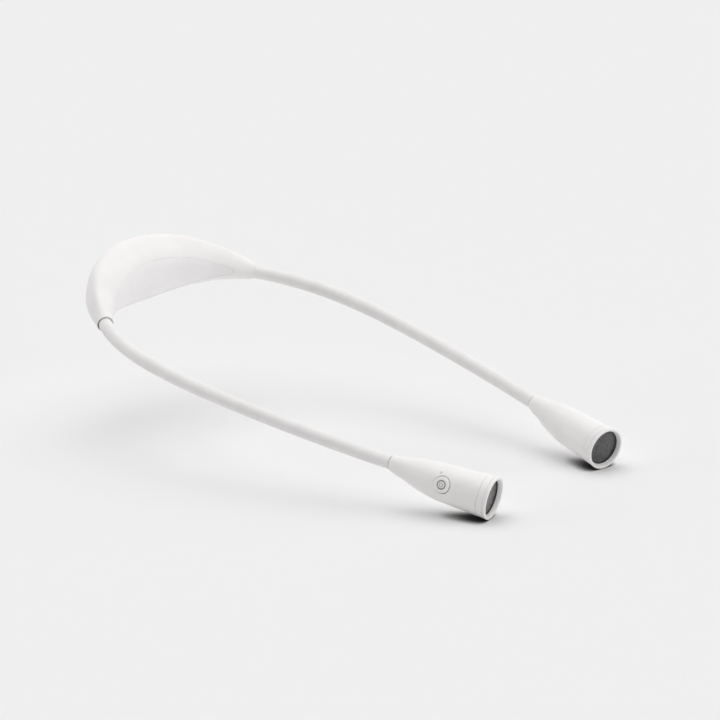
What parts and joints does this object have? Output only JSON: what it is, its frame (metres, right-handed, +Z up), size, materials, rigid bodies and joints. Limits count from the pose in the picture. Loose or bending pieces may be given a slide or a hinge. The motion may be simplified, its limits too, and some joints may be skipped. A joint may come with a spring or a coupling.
{
  "type": "neck reading light",
  "caption": "Hands-free reading light worn round the neck: a curved rechargeable housing, two bendable arms and round lamp heads with push buttons.",
  "frame": {"origin": "middle of the housing's inner face, where it rests on the back of the neck", "axes": "+Z up, -Y forward toward the lamp heads, +X the wearer's left; at rest the arms slope down toward the heads as in the picture"},
  "size_m": [0.1854, 0.3201, 0.1089],
  "materials": {
    "white_plastic": "satin moulded, very light warm grey white",
    "white_silicone": "smooth matt silicone",
    "steel": "plain",
    "cell_foil": "laminated foil pouch",
    "board_green": "solder mask",
    "lead_black": "insulated wire",
    "dark_lens": "dark clear lens, gloss",
    "reflector_metal": "bright",
    "led_yellow": "phosphor",
    "switch_black": "moulded",
    "clear_pin": "clear, gloss"
  },
  "bodies": {
    "neck_housing": {"rear_shell": "white_plastic", "neck_cover": "white_plastic", "battery_cell": "cell_foil", "charge_board": "board_green", "charging_socket": "steel", "charge_light": "clear_pin", "board_screw_left": "steel", "board_screw_right": "steel", "lead_left": "lead_black", "lead_right": "lead_black", "sleeve_root_left": "white_silicone", "sleeve_root_right": "white_silicone", "core_root_left": "steel", "core_root_right": "steel"},
    "left_link_1": {"sleeve_left_1": "white_silicone", "core_left_1": "steel"},
    "left_link_2": {"sleeve_left_2": "white_silicone", "core_left_2": "steel"},
    "left_link_3": {"sleeve_left_3": "white_silicone", "core_left_3": "steel"},
    "left_link_4": {"sleeve_left_4": "white_silicone", "core_left_4": "steel"},
    "left_link_5": {"sleeve_left_5": "white_silicone", "core_left_5": "steel"},
    "left_head": {"sleeve_tail_left": "white_silicone", "core_tail_left": "steel", "head_shell_left": "white_plastic", "bezel_left": "white_plastic", "lens_left": "dark_lens", "reflector_left": "reflector_metal", "led_board_left": "reflector_metal", "led_left": "led_yellow", "switch_board_left": "board_green", "push_switch_left": "switch_black", "indicator_left": "clear_pin", "lead_head_left": "lead_black"},
    "left_button": {"button_left": "white_plastic"},
    "right_link_1": {"sleeve_right_1": "white_silicone", "core_right_1": "steel"},
    "right_link_2": {"sleeve_right_2": "white_silicone", "core_right_2": "steel"},
    "right_link_3": {"sleeve_right_3": "white_silicone", "core_right_3": "steel"},
    "right_link_4": {"sleeve_right_4": "white_silicone", "core_right_4": "steel"},
    "right_link_5": {"sleeve_right_5": "white_silicone", "core_right_5": "steel"},
    "right_head": {"sleeve_tail_right": "white_silicone", "core_tail_right": "steel", "head_shell_right": "white_plastic", "bezel_right": "white_plastic", "lens_right": "dark_lens", "reflector_right": "reflector_metal", "led_board_right": "reflector_metal", "led_right": "led_yellow", "switch_board_right": "board_green", "push_switch_right": "switch_black", "indicator_right": "clear_pin", "lead_head_right": "lead_black"},
    "right_button": {"button_right": "white_plastic"}
  },
  "joints": [
    {"name": "left_arm_spread_1", "type": "hinge", "parent": "neck_housing", "child": "left_link_1", "pos_m": [0.07632, -0.03196, -0.01007], "axis": [0.0606, -0.2218, 0.9732], "range_deg": [-12, 30]},
    {"name": "left_arm_lift_1", "type": "hinge", "parent": "left_link_1", "child": "left_link_2", "pos_m": [0.08724, -0.06709, -0.01882], "axis": [0.9926, 0.1207, 0.0127], "range_deg": [-30, 30]},
    {"name": "left_arm_spread_2", "type": "hinge", "parent": "left_link_2", "child": "left_link_3", "pos_m": [0.08838, -0.10394, -0.02781], "axis": [-0.008, -0.2384, 0.9711], "range_deg": [-17, 30]},
    {"name": "left_arm_lift_2", "type": "hinge", "parent": "left_link_3", "child": "left_link_4", "pos_m": [0.08474, -0.14066, -0.03685], "axis": [0.9911, -0.1321, -0.0139], "range_deg": [-30, 30]},
    {"name": "left_arm_spread_3", "type": "hinge", "parent": "left_link_4", "child": "left_link_5", "pos_m": [0.07912, -0.17717, -0.04575], "axis": [-0.0216, -0.2314, 0.9726], "range_deg": [-30, 30]},
    {"name": "left_arm_lift_3", "type": "hinge", "parent": "left_link_5", "child": "left_head", "pos_m": [0.07197, -0.21346, -0.05446], "axis": [0.9768, -0.2128, -0.0224], "range_deg": [-30, 30]},
    {"name": "left_button_press", "type": "slide", "parent": "left_head", "child": "left_button", "axis": [-0.9398, 0.2163, -0.2645], "range_m": [0, 0.0006], "stiffness_N_per_m": 1500, "springref_m": -0.0002},
    {"name": "right_arm_spread_1", "type": "hinge", "parent": "neck_housing", "child": "right_link_1", "pos_m": [-0.07632, -0.03196, -0.01007], "axis": [-0.0606, -0.2218, 0.9732], "range_deg": [-30, 12]},
    {"name": "right_arm_lift_1", "type": "hinge", "parent": "right_link_1", "child": "right_link_2", "pos_m": [-0.08724, -0.06709, -0.01882], "axis": [0.9926, -0.1207, -0.0127], "range_deg": [-30, 30]},
    {"name": "right_arm_spread_2", "type": "hinge", "parent": "right_link_2", "child": "right_link_3", "pos_m": [-0.08838, -0.10394, -0.02781], "axis": [0.008, -0.2384, 0.9711], "range_deg": [-30, 17]},
    {"name": "right_arm_lift_2", "type": "hinge", "parent": "right_link_3", "child": "right_link_4", "pos_m": [-0.08474, -0.14066, -0.03685], "axis": [0.9911, 0.1321, 0.0139], "range_deg": [-30, 30]},
    {"name": "right_arm_spread_3", "type": "hinge", "parent": "right_link_4", "child": "right_link_5", "pos_m": [-0.07912, -0.17717, -0.04575], "axis": [0.0216, -0.2314, 0.9726], "range_deg": [-30, 30]},
    {"name": "right_arm_lift_3", "type": "hinge", "parent": "right_link_5", "child": "right_head", "pos_m": [-0.07197, -0.21346, -0.05446], "axis": [0.9768, 0.2128, 0.0224], "range_deg": [-30, 30]},
    {"name": "right_button_press", "type": "slide", "parent": "right_head", "child": "right_button", "axis": [0.9398, 0.2163, -0.2645], "range_m": [0, 0.0006], "stiffness_N_per_m": 1500, "springref_m": -0.0002}
  ]
}
